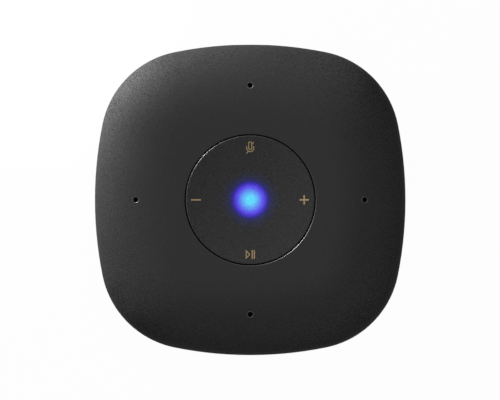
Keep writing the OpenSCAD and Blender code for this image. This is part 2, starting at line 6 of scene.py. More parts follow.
import bmesh
import bpy
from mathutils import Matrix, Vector

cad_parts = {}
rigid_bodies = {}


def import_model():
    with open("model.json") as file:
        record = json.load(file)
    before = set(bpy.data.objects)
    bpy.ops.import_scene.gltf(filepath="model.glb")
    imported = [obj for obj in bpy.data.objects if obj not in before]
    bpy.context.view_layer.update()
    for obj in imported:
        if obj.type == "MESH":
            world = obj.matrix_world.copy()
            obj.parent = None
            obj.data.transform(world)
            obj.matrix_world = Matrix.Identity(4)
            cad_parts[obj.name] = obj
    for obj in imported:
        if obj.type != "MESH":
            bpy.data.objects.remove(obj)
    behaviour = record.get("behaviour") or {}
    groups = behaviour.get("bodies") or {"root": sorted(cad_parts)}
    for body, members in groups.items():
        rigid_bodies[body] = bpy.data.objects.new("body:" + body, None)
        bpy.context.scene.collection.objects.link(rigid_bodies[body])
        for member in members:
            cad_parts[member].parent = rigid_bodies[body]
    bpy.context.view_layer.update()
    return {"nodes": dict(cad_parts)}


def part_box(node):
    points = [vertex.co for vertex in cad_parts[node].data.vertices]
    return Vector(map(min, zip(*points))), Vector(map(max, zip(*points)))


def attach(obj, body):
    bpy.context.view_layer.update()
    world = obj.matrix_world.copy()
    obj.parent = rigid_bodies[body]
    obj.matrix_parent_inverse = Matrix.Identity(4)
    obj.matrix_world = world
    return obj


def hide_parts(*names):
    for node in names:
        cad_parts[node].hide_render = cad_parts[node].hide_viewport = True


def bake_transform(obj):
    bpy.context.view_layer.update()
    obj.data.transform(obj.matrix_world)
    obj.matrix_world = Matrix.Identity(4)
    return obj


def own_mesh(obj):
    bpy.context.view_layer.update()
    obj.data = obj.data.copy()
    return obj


for leftover in list(bpy.data.objects):
    bpy.data.objects.remove(leftover)
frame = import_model()
mm = 0.001


# Base cover: the dish under the unit, injection-moulded in dark ABS with a fine spark texture.
# Four long screws in its corner columns clamp it, the band and the baffle to the top shell.
class Wire:
    """One output of a node. Arithmetic on wires adds Math nodes to their tree."""

    def __init__(self, tree, socket=None):
        self.tree = tree
        self.socket = socket

    def add(self, kind, settings=None, sockets=None, output=0):
        """Adds a node: its settings first, then a value or a wire for each input."""
        node = self.tree.nodes.new(kind)
        for name, value in (settings or {}).items():
            if name == "stops":
                ramp = node.color_ramp
                ramp.elements.remove(ramp.elements[1])
                ramp.elements[0].position, ramp.elements[0].color = value[0]
                for place, colour in value[1:]:
                    ramp.elements.new(place).color = colour
            else:
                setattr(node, name, value)
        for name, value in (sockets or {}).items():
            if isinstance(value, Wire):
                self.tree.links.new(value.socket, node.inputs[name])
            else:
                node.inputs[name].default_value = value
        return Wire(self.tree, node.outputs[output] if node.outputs else None)

    def maths(self, operation, *values):
        """What a Math node makes of some values."""
        return self.add("ShaderNodeMath", {"operation": operation}, dict(enumerate(values)))

    def vector(self, operation, other, output="Vector"):
        """What a Vector Math node makes of this vector and another."""
        return self.add("ShaderNodeVectorMath", {"operation": operation}, {0: self, 1: other}, output)

    def axis(self, name):
        """This vector's X, Y or Z."""
        return self.add("ShaderNodeSeparateXYZ", {}, {0: self}, name)

    def between(self, low, high):
        """The colour that goes from low to high as this value goes from 0 to 1."""
        return self.add("ShaderNodeMix", {"data_type": "RGBA"}, {0: self, 6: low, 7: high}, 2)

    def dimmed(self, value):
        """This colour times a value."""
        settings = {"data_type": "RGBA", "blend_type": "MULTIPLY"}
        return self.add("ShaderNodeMix", settings, {0: 1.0, 6: self, 7: value}, 2)

    def __add__(self, other):
        return self.maths("ADD", self, other)

    def __sub__(self, other):
        return self.maths("SUBTRACT", self, other)

    def __rsub__(self, other):
        return self.maths("SUBTRACT", other, self)

    def __mul__(self, other):
        return self.maths("MULTIPLY", self, other)

    def __truediv__(self, other):
        return self.maths("DIVIDE", self, other)

    def __rtruediv__(self, other):
        return self.maths("DIVIDE", other, self)

    __radd__ = __add__
    __rmul__ = __mul__


def new_finish(name, constants):
    """A material, its shader with the constants set, and a wire of places on the piece."""
    finish = bpy.data.materials.new(name)
    finish.use_nodes = True
    shader = finish.node_tree.nodes["Principled BSDF"]
    for socket, value in constants.items():
        shader.inputs[socket].default_value = value
    return finish, shader, Wire(finish.node_tree).add("ShaderNodeTexCoord", output="Object")


def feed(shader, wires):
    """Links a wire to each of the shader's named inputs."""
    for socket, wire in wires.items():
        wire.tree.links.new(wire.socket, shader.inputs[socket])


def noise(place, size, detail=2.0):
    """Soft random values round 0.5, in patches of about that size."""
    return place.add("ShaderNodeTexNoise", {}, {"Vector": place, "Scale": 1 / size, "Detail": detail})


def bump(height, depth):
    """The normals of a surface that rises by depth as height goes from 0 to 1."""
    return height.add("ShaderNodeBump", {}, {"Height": height, "Distance": depth}, "Normal")


def shade(colour, level):
    """A colour made darker or lighter, in the four parts that a socket takes."""
    return (*(level * part for part in colour), 1.0)


def moulded(name, colour, roughness=0.62, gloss=0.04, grain=0.55 * mm, mottle=0.35, depth=0.002 * mm):
    """Moulded plastic: a spark-eroded grain in colour, sheen and height over faint flow clouds."""
    finish, shader, place = new_finish(name, {"Specular IOR Level": gloss})
    speck = noise(place, grain)
    cloud = noise(place, 40 * grain, 3.0)
    skin = 0.85 * speck + 0.15 * cloud
    feed(shader, {
        "Base Color": skin.between(shade(colour, 1 - mottle), shade(colour, 1 + mottle)),
        "Roughness": roughness - 0.1 + 0.2 * speck,
        "Normal": bump(noise(place, 0.5 * grain), depth),
    })
    return finish


def smooth_faces(weld=0.001 * mm, sharp_angle=math.radians(32)):
    """A modifier tree that welds the faces of a solid and keeps only its real edges sharp."""
    tree = bpy.data.node_groups.new("smooth_faces", "GeometryNodeTree")
    for side in ("INPUT", "OUTPUT"):
        tree.interface.new_socket("Geometry", in_out=side, socket_type="NodeSocketGeometry")
    start = Wire(tree).add("NodeGroupInput")
    welded = start.add("GeometryNodeMergeByDistance", {}, {"Geometry": start, "Distance": weld})
    angle = start.add("GeometryNodeInputMeshEdgeAngle")
    sharp = start.add("FunctionNodeCompare", {"operation": "GREATER_THAN"}, {0: angle, 1: sharp_angle})
    smooth = start.add("GeometryNodeSetMeshNormal", {"mode": "SHARPNESS"},
                       {"Mesh": welded, "Remove Custom": True, "Edge Sharpness": sharp})
    start.add("NodeGroupOutput", {}, {"Geometry": smooth})
    return tree


smoothing = smooth_faces()


def coat(piece, finish):
    """Gives a piece its finish, with smooth shading over its curved faces."""
    piece.data.materials[0] = finish
    piece.modifiers.new("smooth", "NODES").node_group = smoothing
    piece.modifiers.new("even", "WEIGHTED_NORMAL").keep_sharp = True


def dress(finish, *names):
    """Gives nodes of the frame their finish."""
    for name in names:
        coat(frame["nodes"][name], finish)


dress(moulded("base_cover_plastic", (0.024, 0.024, 0.0245), roughness=0.66), "base_cover")


# Foot ring: a soft rubber hoop pressed into a groove of the base cover, which keeps the unit
# from sliding and humming on a table. It is dull, with a little dust caught in its skin.
def rubber(name, colour, roughness=0.82, dust=0.5, depth=0.01 * mm):
    """Moulded rubber: open pores, and patches where dust has rubbed in."""
    finish, shader, place = new_finish(name, {"Specular IOR Level": 0.25})
    pores = noise(place, 0.35 * mm, 3.0)
    wear = noise(place, 6 * mm, 4.0)
    skin = 0.5 * pores + 0.5 * wear
    feed(shader, {
        "Base Color": skin.between(shade(colour, 1 - dust), shade(colour, 1 + dust)),
        "Roughness": roughness + 0.12 * wear - 0.06,
        "Normal": bump(pores, depth),
    })
    return finish


dress(rubber("foot_rubber", (0.016, 0.016, 0.016)), "foot_ring")


# Sound deflector: a moulded cone on the base cover's floor, under the loudspeaker, which turns
# the sound outwards to the slots all round.
inner_plastic = moulded("inner_plastic", (0.042, 0.042, 0.044), roughness=0.5, gloss=0.35, grain=0.9 * mm)
dress(inner_plastic, "sound_deflector")


# Grille band: the moulded ring of upright slots between base cover and top shell, and behind it
# a hoop of black-coated woven wire that keeps dust out of the sound chamber.
def waves(value, pitch):
    """Even ridges from 0 to 1 along a value, one every pitch."""
    return 0.5 + 0.5 * value.maths("SINE", value * (math.tau / pitch))


def radius(place):
    """Distance from the upright axis."""
    return place.vector("MULTIPLY", (1.0, 1.0, 0.0)).vector("LENGTH", (0.0, 0.0, 0.0), "Value")


def woven(name, colour, pitch, hoop_r, roughness=0.55, metallic=0.0):
    """Cloth or mesh round the upright axis: threads along the hoop and threads up it."""
    finish, shader, place = new_finish(name, {"Specular IOR Level": 0.3, "Metallic": metallic})
    along = place.maths("ARCTAN2", place.axis("Y"), place.axis("X")) * hoop_r
    weave = waves(along, pitch) * waves(place.axis("Z") + radius(place), pitch)
    fuzz = noise(place, 0.4 * pitch)
    feed(shader, {
        "Base Color": (0.7 * weave + 0.3 * fuzz).between(shade(colour, 0.25), shade(colour, 1.6)),
        "Roughness": roughness + 0.2 * fuzz - 0.1,
        "Normal": bump(weave, 0.2 * pitch),
    })
    return finish


dress(moulded("grille_plastic", (0.023, 0.023, 0.0235)), "grille_band")
mesh_wire = woven("mesh_wire", (0.03, 0.03, 0.032), pitch=0.5 * mm, hoop_r=55 * mm, metallic=0.6)
dress(mesh_wire, "dust_mesh")


# Baffle plate and chamber seal: the moulded shelf that carries the loudspeaker, with a strip of
# closed-cell foam on its rim that is squeezed under the top shell's rib.
def foam(name, colour):
    """Closed-cell foam: small cells that bulge, with dark seams between them."""
    finish, shader, place = new_finish(name, {"Specular IOR Level": 0.15})
    cells = place.add("ShaderNodeTexVoronoi", {}, {"Vector": place, "Scale": 1 / (0.4 * mm)}, "Distance")
    feed(shader, {
        "Base Color": cells.between(shade(colour, 1.5), shade(colour, 0.5)),
        "Roughness": 0.95 - 0.2 * cells,
        "Normal": bump(1 - cells, 0.08 * mm),
    })
    return finish


foam_black = foam("foam_black", (0.012, 0.012, 0.012))
dress(inner_plastic, "baffle_plate")
dress(foam_black, "chamber_seal")


# Loudspeaker: a moulded basket on four screws holds a ferrite motor between zinc-plated plates.
# The paper cone hangs from a rubber surround and an amber cloth spider, and its coil is copper.
def plated(name, colour, roughness, brush=(1.0, 1.0, 1.0), size=0.5 * mm):
    """Bare or plated metal with rolling marks, drawn out along an axis whose brush is small."""
    finish, shader, place = new_finish(name, {"Metallic": 1.0})
    marks = noise(place.vector("MULTIPLY", brush), size, 3.0)
    stain = noise(place, 5 * mm, 3.0)
    feed(shader, {
        "Base Color": (0.5 * marks + 0.5 * stain).between(shade(colour, 0.72), shade(colour, 1.28)),
        "Roughness": roughness - 0.12 + 0.24 * marks,
        "Normal": bump(marks, 0.003 * mm),
    })
    return finish


def pressed_fibre(name, colour, strand=(0.25, 1.0, 1.0)):
    """Paper or pressed board: matted fibres that catch the light a little."""
    finish, shader, place = new_finish(name, {"Specular IOR Level": 0.2, "Sheen Weight": 0.15})
    fibres = noise(place.vector("MULTIPLY", strand), 0.3 * mm, 4.0)
    felt = noise(place, 1.5 * mm, 3.0)
    feed(shader, {
        "Base Color": (0.6 * fibres + 0.4 * felt).between(shade(colour, 0.5), shade(colour, 1.5)),
        "Roughness": 0.8 + 0.15 * felt,
        "Normal": bump(fibres, 0.02 * mm),
    })
    return finish


def wound(name, colour, pitch):
    """Enamelled wire wound side by side round the upright axis."""
    finish, shader, place = new_finish(name, {"Metallic": 1.0, "Coat Weight": 0.4})
    turns = waves(place.axis("Z"), pitch)
    tarnish = noise(place, 2 * mm)
    feed(shader, {
        "Base Color": (0.6 * turns + 0.4 * tarnish).between(shade(colour, 0.45), shade(colour, 1.4)),
        "Roughness": 0.25 + 0.2 * tarnish,
        "Normal": bump(turns, 0.3 * pitch),
    })
    return finish


def sprung(name, finish):
    """A copy of a node that stands for it, where the real piece gives as the unit works."""
    piece = bpy.data.objects.new(name + "_sprung", frame["nodes"][name].data.copy())
    bpy.context.scene.collection.objects.link(piece)
    coat(piece, finish)
    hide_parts(name)
    return piece


def hang(piece, inner_r, outer_r, grip):
    """Bakes a ring's placement into its mesh, and works out for each point a share of grip that follows its
    radius, but does not apply it."""
    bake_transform(piece)
    for point in piece.data.vertices:
        share = min(1.0, max(0.0, (outer_r - point.co.xy.length) / (outer_r - inner_r)))
        grip * share * share * (3 - 2 * share)


screw_steel = plated("screw_steel", (0.42, 0.42, 0.44), roughness=0.36)
dress(inner_plastic, "speaker_frame")
dress(foam_black, "speaker_gasket")
dress(screw_steel, "speaker_screws")
dress(plated("motor_steel", (0.36, 0.37, 0.39), roughness=0.4), "front_plate", "yoke")
magnet_ferrite = moulded("magnet_ferrite", (0.05, 0.05, 0.055), roughness=0.7, gloss=0.5, grain=0.3 * mm)
dress(magnet_ferrite, "magnet_ring")
dress(wound("coil_copper", (0.45, 0.16, 0.06), pitch=0.16 * mm), "voice_coil")
dress(pressed_fibre("cone_paper", (0.013, 0.013, 0.013)), "speaker_cone", "dust_cap")
roll_w = 2.85 * mm
surround_grip = 1.0
cone_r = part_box("speaker_cone")[1].x
surround_rubber = rubber("surround_rubber", (0.008, 0.008, 0.008), roughness=0.55, dust=0.25)
surround = sprung("cone_surround", surround_rubber)
hang(surround, cone_r, cone_r + roll_w, surround_grip)
spider_land = 1.8 * mm
spider_grip = 0.85  # meant to keep its crest off the front plate, though hang does not apply it
spider_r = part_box("cone_spider")[1].x - spider_land
spider_cloth = woven("spider_cloth", (0.42, 0.22, 0.06), pitch=0.35 * mm, hoop_r=10 * mm, roughness=0.8)
spider = sprung("cone_spider", spider_cloth)
hang(spider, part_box("voice_coil")[1].x, spider_r, spider_grip)
dress(pressed_fibre("terminal_board", (0.1, 0.05, 0.02)), "terminal_block")
tag_brass = plated("tag_brass", (0.62, 0.42, 0.14), roughness=0.3, brush=(1.0, 1.0, 0.1))
dress(tag_brass, "terminal_tags")
lead_sleeve = rubber("lead_sleeve", (0.2, 0.014, 0.012), roughness=0.5, dust=0.2, depth=0.004 * mm)
dress(lead_sleeve, "speaker_lead")


# Main board: a glass laminate under green solder mask on the baffle's posts. It carries a tin
# can over the radio and codec, and nylon sockets for the loudspeaker lead and the ribbon.
def laminate(name, mask, track):
    """Circuit board: copper tracks that stand up a little under the solder mask."""
    finish, shader, place = new_finish(name, {"Specular IOR Level": 0.5, "Coat Weight": 0.3})
    sizes = {"Vector": place, "Scale": 1 / (4 * mm), "Mortar Size": 0.06, "Mortar Smooth": 0.2}
    tracks = place.add("ShaderNodeTexBrick", {"offset": 0.37, "squash": 1.7}, sizes, "Fac")
    weave = noise(place, 0.3 * mm)
    feed(shader, {
        "Base Color": (0.75 * tracks + 0.25 * weave).between(shade(mask, 1.0), shade(track, 1.0)),
        "Roughness": 0.26 + 0.2 * weave,
        "Normal": bump(tracks, 0.03 * mm),
    })
    return finish


def ribbon_film(name, film, copper, pitch):
    """Clear film over flat conductors that run from end to end of a ribbon."""
    finish, shader, place = new_finish(name, {"Specular IOR Level": 0.5})
    conductor = waves(place.axis("X"), pitch)
    haze = noise(place, 1 * mm)
    feed(shader, {
        "Base Color": (0.8 * conductor + 0.2 * haze).between(shade(film, 1.0), shade(copper, 1.0)),
        "Roughness": 0.3 + 0.2 * haze,
        "Normal": bump(conductor, 0.03 * mm),
    })
    return finish


board_laminate = laminate("board_laminate", (0.008, 0.075, 0.03), (0.03, 0.16, 0.07))
natural_nylon = moulded("natural_nylon", (0.7, 0.65, 0.54),
                        roughness=0.42, gloss=0.45, grain=0.8 * mm, mottle=0.12)
can_tin = plated("can_tin", (0.5, 0.52, 0.54), roughness=0.3, brush=(1.0, 0.08, 1.0))
dress(board_laminate, "main_board")
dress(screw_steel, "main_board_screws")
dress(can_tin, "shield_can")
dress(natural_nylon, "lead_plug", "ribbon_socket_lower", "ribbon_socket_upper")
dress(ribbon_film("ribbon_film", (0.62, 0.6, 0.5), (0.3, 0.17, 0.09), pitch=1 * mm), "ribbon_cable")


# Cable socket: a drawn steel shell soldered to the main board, open to the pocket in the rear wall,
# with a black tongue inside that carries a row of gold-plated contacts on each face.
def solid(name, points, faces, finish, body):
    """A closed mesh piece that rides on a body and takes its finish from a slot."""
    mesh = bpy.data.meshes.new(name)
    mesh.from_pydata(points, [], faces)
    mesh.materials.append(finish)
    form = bmesh.new()
    form.from_mesh(mesh)
    bmesh.ops.recalc_face_normals(form, faces=form.faces)
    form.to_mesh(mesh)
    form.free()
    piece = bpy.data.objects.new(name, mesh)
    bpy.context.scene.collection.objects.link(piece)
    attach(piece, body)
    return piece


def prism(points, faces, low, high):
    """Adds the closed solid between two outlines of as many points each."""
    start, count = len(points), len(low)
    points.extend(low)
    points.extend(high)
    faces.append([start + i for i in reversed(range(count))])
    faces.append([start + count + i for i in range(count)])
    for i in range(count):
        j = (i + 1) % count
        faces.append([start + i, start + j, start + count + j, start + count + i])


tongue_plastic = moulded("tongue_plastic", (0.012, 0.012, 0.012), roughness=0.4, gloss=0.4, grain=0.3 * mm)
dress(can_tin, "usb_shell")
dress(tongue_plastic, "usb_tongue")

contact_count = 12
contact_pitch = 0.5 * mm
contact_w = 0.26 * mm
contact_len = 3.6 * mm
contact_proud = 0.03 * mm
contact_nose = 0.3 * mm
contact_set_back = 0.35 * mm
blade_t = 0.7 * mm
tongue_low, tongue_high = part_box("usb_tongue")
blade_z = (tongue_low.z + tongue_high.z) / 2
near = tongue_high.y - contact_set_back
nose = near - contact_nose
far = near - contact_len
contact_points, contact_faces = [], []
for side in (-1, 1):
    foot_z = blade_z + side * (blade_t / 2 - contact_proud)
    crest_z = blade_z + side * (blade_t / 2 + contact_proud)
    for place in range(contact_count):
        x = (place - (contact_count - 1) / 2) * contact_pitch
        left, right = x - contact_w / 2, x + contact_w / 2
        foot = [(left, near), (right, near), (right, far), (left, far)]
        crest = [(left, nose), (right, nose), (right, far), (left, far)]
        prism(contact_points, contact_faces,
              [(*p, foot_z) for p in foot], [(*p, crest_z) for p in crest])
contact_gold = plated("contact_gold", (0.78, 0.52, 0.18),
                      roughness=0.25, brush=(1.0, 0.1, 1.0), size=0.2 * mm)
solid("usb_contacts", contact_points, contact_faces, contact_gold, "housing")


# Control board: the round laminate under the top. A snap dome of spring steel waits below each
# press point, the status light sits in the middle, and each microphone seals to its port.
def resin(name, colour, glow):
    """Clear or frosted resin, tinted by the light in its middle."""
    finish, shader, place = new_finish(name, {"Specular IOR Level": 0.5})
    haze = noise(place, 0.6 * mm)
    tint = (radius(place) / (4 * mm)).between(shade(glow, 1.0), shade(colour, 1.0))
    feed(shader, {"Base Color": tint.dimmed(0.8 + 0.4 * haze), "Roughness": 0.2 + 0.2 * haze})
    return finish


dress(board_laminate, "control_board")
dress(screw_steel, "control_board_screws")
dress(resin("led_resin", (0.8, 0.78, 0.7), (0.5, 0.8, 0.9)), "status_led")
dome_steel = plated("dome_steel", (0.55, 0.56, 0.57), roughness=0.24)
dome_joints = {"mute": "rock_mute_play", "play": "rock_mute_play",
               "volume_up": "rock_volume", "volume_down": "rock_volume"}
for press, joint in dome_joints.items():
    dome = sprung("snap_dome_" + press, dome_steel)
    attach(dome, "housing")
    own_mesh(dome)
mic_can = plated("mic_can", (0.55, 0.5, 0.38), roughness=0.32, brush=(0.2, 1.0, 1.0))
gasket_silicone = rubber("gasket_silicone", (0.05, 0.055, 0.06), roughness=0.7, dust=0.3)
mic_cloth = woven("mic_cloth", (0.006, 0.006, 0.006), pitch=0.15 * mm, hoop_r=44 * mm, roughness=0.9)
for side in ("right", "back", "left", "front"):
    dress(mic_can, "mic_capsule_" + side)
    dress(gasket_silicone, "mic_gasket_" + side)
    dress(mic_cloth, "mic_cloth_" + side)


# Gimbal: an acetal ring on four pins between the carrier on the board and the ears under the
# disc, so that the disc can rock towards any of its four press points.
pin_acetal = moulded("pin_acetal", (0.6, 0.58, 0.52), roughness=0.38, gloss=0.5, grain=1.2 * mm, mottle=0.1)
dress(inner_plastic, "gimbal_carrier")
dress(pin_acetal, "gimbal_ring")


# Control disc: one dished moulding in the shell's own plastic. Its middle is thinned over a
# frosted diffuser, so the status light glows through the grain with no edge of its own.
disc_colour = (0.028, 0.028, 0.0285)
disc_r = 24.8 * mm
disc_edge = 0.4 * mm
disc_rim = (disc_r - 0.17 * mm, disc_r - 0.01 * mm)  # radii of the part of the edge that shines
# Painted shade: the disc's side wall and lip down in the gap are darkened in colour as if shadowed.
disc_shaded_gap = (disc_r - 0.08 * mm, disc_r + 5.2 * mm)  # radii of the side wall and lip, in the gap
disc_tooth = 0.9
outer_tooth = 1.3  # what the grain gains in sharpness at the outline
outer_power = 5.0
unit_half_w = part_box("top_shell")[1].x
# How far the painted shade darkens the gap's walls and the ports' bores.
painted_shade_level = 0.95
rim_polish = 0.62
rim_roughness = 0.45
rim_index = 2.8
sparkle_inner, sparkle_outer = 0.4, 1.8
glow_r = 11.6 * mm
glow_stops = [
    (0.0, (0.08, 0.75, 0.90, 1)),
    (1.5 * mm, (0.105, 0.65, 0.95, 1)),
    (3.1 * mm, (0.10, 0.33, 0.89, 1)),
    (4.6 * mm, (0.085, 0.09, 0.78, 1)),
    (5.4 * mm, (0.072, 0.036, 0.72, 1)),
    (6.2 * mm, (0.028, 0.006, 0.45, 1)),
    (7.0 * mm, (0.0, 0.0, 0.17, 1)),
    (7.7 * mm, (0.0, 0.001, 0.075, 1)),
    (8.5 * mm, (0.0, 0.001, 0.04, 1)),
    (9.6 * mm, (0.0, 0.001, 0.016, 1)),
    (glow_r, (0.0, 0.0, 0.0, 1)),
]


def inside(value, low, high):
    """One where a value lies between two limits, else zero."""
    return value.maths("GREATER_THAN", value, low) * value.maths("LESS_THAN", value, high)


def outer_plastic(name, colour, rim, gap, tooth, holes=None):
    """The outside's textured plastic: its grain is at least as sharp as tooth and sharper outwards. It is
    polished on the rounded rim of the gap round the disc, and painted shade darkens its colour inside that
    gap."""
    constants = {"Specular IOR Level": 0.01, "Coat Roughness": rim_roughness, "Coat IOR": rim_index}
    finish, shader, place = new_finish(name, constants)
    speck = noise(place, 0.45 * mm)
    cloud = noise(place, 20 * mm, 3.0)
    sharpness = tooth + outer_tooth * place.maths("POWER", radius(place) / unit_half_w, outer_power)
    grain = (0.9 * speck + 0.1 * cloud - 0.5) * sharpness
    tint = (0.5 + grain).between(shade(colour, 0.05), shade(colour, 1.95))
    # Painted shade: the colour inside the gap is darkened as if shadowed.
    painted_shade_mask, polish = inside(radius(place), *gap), rim_polish * inside(radius(place), *rim)
    if holes:
        # Painted shade: the ports' bores are darkened too, as if shadowed.
        bore, edge = holes(place)
        painted_shade_mask, polish = painted_shade_mask + bore, polish + edge
    feed(shader, {
        "Base Color": tint.dimmed(1 - painted_shade_level * painted_shade_mask),
        "Roughness": 0.52 + 0.2 * speck,
        "Coat Weight": polish,
        "Normal": bump(noise(place, 0.3 * mm), 0.002 * mm),
    })
    return finish, shader, place


def lit_disc(name, colour, stops, reach):
    """The disc's plastic, with the light that comes through it, by distance from the middle."""
    finish, shader, place = outer_plastic(name, colour, disc_rim, disc_shaded_gap, disc_tooth)
    shader.inputs["Emission Strength"].default_value = 1.0
    ramp = {"stops": [(place_r / reach, tint) for place_r, tint in stops]}
    share = radius(place) / reach
    glow = place.add("ShaderNodeValToRGB", ramp, {"Fac": share}, "Color")
    sparkle = (noise(place, 0.5 * mm) - 0.5) * (sparkle_inner + (sparkle_outer - sparkle_inner) * share)
    feed(shader, {"Emission Color": glow.dimmed(1 + sparkle)})
    return finish


dress(lit_disc("disc_plastic", disc_colour, glow_stops, glow_r), "control_disc")
dress(resin("diffuser_plastic", (0.78, 0.84, 0.9), (0.6, 0.85, 0.95)), "light_diffuser")


# Signs: gold ink pad-printed on the disc over its press points. Minus is left, plus right,
# a microphone with a stroke through it at the rear, and play with pause at the front.
# The sizes and places of the signs themselves are in millimetres from the disc's middle.
dish_depth = 1.3 * mm
dish_r = disc_r - disc_edge
dish_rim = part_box("control_disc")[1].z
ink_t = 0.02 * mm
ink_root = 0.02 * mm


def on_dish(x, y, lift):
    """The point of the disc's dished face over x, y in millimetres, raised by lift."""
    x, y = x * mm, y * mm
    return (x, y, dish_rim - dish_depth * (1 - (x * x + y * y) / dish_r ** 2) + lift)


def stamp(points, faces, outline):
    """Adds a printed patch inside an outline of points in millimetres."""
    prism(points, faces, [on_dish(x, y, -ink_root) for x, y in outline],
          [on_dish(x, y, ink_t) for x, y in outline])


def arc(x, y, r, start, end, steps=10):
    """Points on a circle, between angles in degrees."""
    turns = (math.radians(start + (end - start) * i / steps) for i in range(steps + 1))
    return [(x + r * math.cos(a), y + r * math.sin(a)) for a in turns]


def line(points, faces, path, width, closed=False):
    """Adds a printed line of that width along a path, as one strip that is mitred at its bends."""
    start, count, corners = len(points), len(path), 4
    for i, here in enumerate(path):
        ahead = path[(i + 1) % count] if closed or i + 1 < count else None
        behind = path[i - 1] if closed or i > 0 else None
        into = (Vector(here) - Vector(behind)).normalized() if behind else None
        out = (Vector(ahead) - Vector(here)).normalized() if ahead else into
        into = into or out
        across = (into.orthogonal() + out.orthogonal()).normalized()
        reach = across * (width / 2 / across.dot(out.orthogonal()))
        left, right = Vector(here) + reach, Vector(here) - reach
        for side, lift in ((left, -ink_root), (right, -ink_root), (right, ink_t), (left, ink_t)):
            points.append(on_dish(*side, lift))
    for i in range(count if closed else count - 1):
        a, b = start + corners * i, start + corners * ((i + 1) % count)
        for j in range(corners):
            k = (j + 1) % corners
            faces.append([a + j, a + k, b + k, b + j])
    if not closed:
        faces.append([start + j for j in range(corners)])
        faces.append([start + corners * count - 1 - j for j in range(corners)])


def bar(x0, x1, y0, y1):
    """The four corners of an upright rectangle."""
    return [(x0, y0), (x1, y0), (x1, y1), (x0, y1)]


def plus_outline(x, y, arm, stroke):
    """The twelve corners of an upright cross."""
    a, s = arm / 2, stroke / 2
    corners = [(a, -s), (a, s), (s, s), (s, a), (-s, a), (-s, s),
               (-a, s), (-a, -s), (-s, -s), (-s, -a), (s, -a), (s, -s)]
    return [(x + dx, y + dy) for dx, dy in corners]


gold_ink = moulded("gold_ink", (0.262, 0.19, 0.095),
                   roughness=0.5, gloss=0.1, grain=0.3 * mm, mottle=0.2, depth=0.001 * mm)


def sign(name, points, faces):
    """A printed sign, which moves with the disc."""
    solid(name, points, faces, gold_ink, "control_disc")


stroke = 0.57
minus_at, minus_len = -20.88, 3.75
points, faces = [], []
stamp(points, faces, bar(minus_at - minus_len / 2, minus_at + minus_len / 2, -stroke / 2, stroke / 2))
sign("sign_minus", points, faces)

plus_at, plus_len = 20.78, 3.65
points, faces = [], []
stamp(points, faces, plus_outline(plus_at, 0, plus_len, stroke))
sign("sign_plus", points, faces)

fine = 0.34
capsule_r, capsule_y = 0.6, (19.34, 22.32)
cradle_r, cradle_top, cradle_low = 1.36, 20.75, 18.56
slash_high, slash_low = Vector((1.32, 22.3)), Vector((-1.36, 17.8))
slash_breaks = (0.2, 0.79)
points, faces = [], []
capsule = arc(0, capsule_y[1] - capsule_r, capsule_r, 0, 180)
capsule += arc(0, capsule_y[0] + capsule_r, capsule_r, 180, 360)
line(points, faces, capsule, fine, closed=True)
cradle_mid = cradle_low + cradle_r
cradle = [(-cradle_r, cradle_top)] + arc(0, cradle_mid, cradle_r, 180, 360) + [(cradle_r, cradle_top)]
line(points, faces, cradle, fine)
line(points, faces, [slash_high, slash_high.lerp(slash_low, slash_breaks[0])], fine)
line(points, faces, [slash_high.lerp(slash_low, slash_breaks[1]), slash_low], fine)
sign("sign_mute", points, faces)

play_y = (-22.4, -19.64)
play_x = (-1.55, -0.15)
pause_y = (-22.7, -19.3)
pause_bars = ((0.58, 0.98), (1.4, 1.8))
points, faces = [], []
triangle = [(play_x[0], play_y[0]), (play_x[1], sum(play_y) / 2), (play_x[0], play_y[1])]
line(points, faces, triangle, fine, closed=True)
for x0, x1 in pause_bars:
    stamp(points, faces, bar(x0, x1, *pause_y))
sign("sign_play_pause", points, faces)


# Top shell: the crowned soft-square moulding that makes the unit's whole upper side, in dark
# ABS with a fine even spark texture. Four microphone ports are drilled through its crown.
well_r = 25.25 * mm
# Painted shade: the well's wall down in the gap is darkened in colour as if shadowed.
well_shaded_gap = (well_r - 5.25 * mm, well_r + 0.08 * mm)  # radii of the well's wall, in the gap
well_rim = (well_r, well_r + 0.19 * mm)  # radii of the part of its edge that shines
shell_tooth = 0.25
mic_low, mic_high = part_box("mic_capsule_right")
port_at = (mic_low.x + mic_high.x) / 2
# The ports' bores, out to this radius, are painted dark as shade.
port_bore = 0.95 * mm
port_edge = 1.25 * mm
port_polish = 0.3


def ports(place):
    """The four ports folded onto one: where their bore is, which gets painted shade, and how polished their
    cut edge is.
    """
    folded = place.vector("ABSOLUTE", (0.0, 0.0, 0.0))
    x, y = folded.axis("X"), folded.axis("Y")
    out, aside = x.maths("MAXIMUM", x, y) - port_at, x.maths("MINIMUM", x, y)
    port = x.maths("SQRT", out * out + aside * aside)
    return inside(port, 0.0, port_bore), port_polish * inside(port, port_bore, port_edge)


shell_plastic = outer_plastic("shell_plastic", disc_colour, well_rim, well_shaded_gap, shell_tooth, ports)[0]
dress(shell_plastic, "top_shell")


# Housing screws: four zinc-plated pan heads with cross recesses, deep in the wells of the base
# cover. They pass up through the baffle and cut their thread in the top shell's bosses.
screw_low, screw_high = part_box("housing_screws")
head_r = 2.6 * mm
head_t = 1.8 * mm
head_curve = ((0.72, 0.0), (0.9, 0.2), (1.0, 0.55))  # shares of the head's radius and height
shank_r = 1.25 * mm
core_r = 0.95 * mm
tip_r = 0.5 * core_r
thread_pitch = 1.0 * mm
thread_len = 12 * mm
recess_arm = 2.9 * mm
recess_stroke = 0.75 * mm
recess_depth = 1.1 * mm
recess_past = 0.1 * mm
recess_taper = 0.6
turn_steps = 32
screw_c = screw_high.x - head_r
seat_z = screw_low.z + head_t


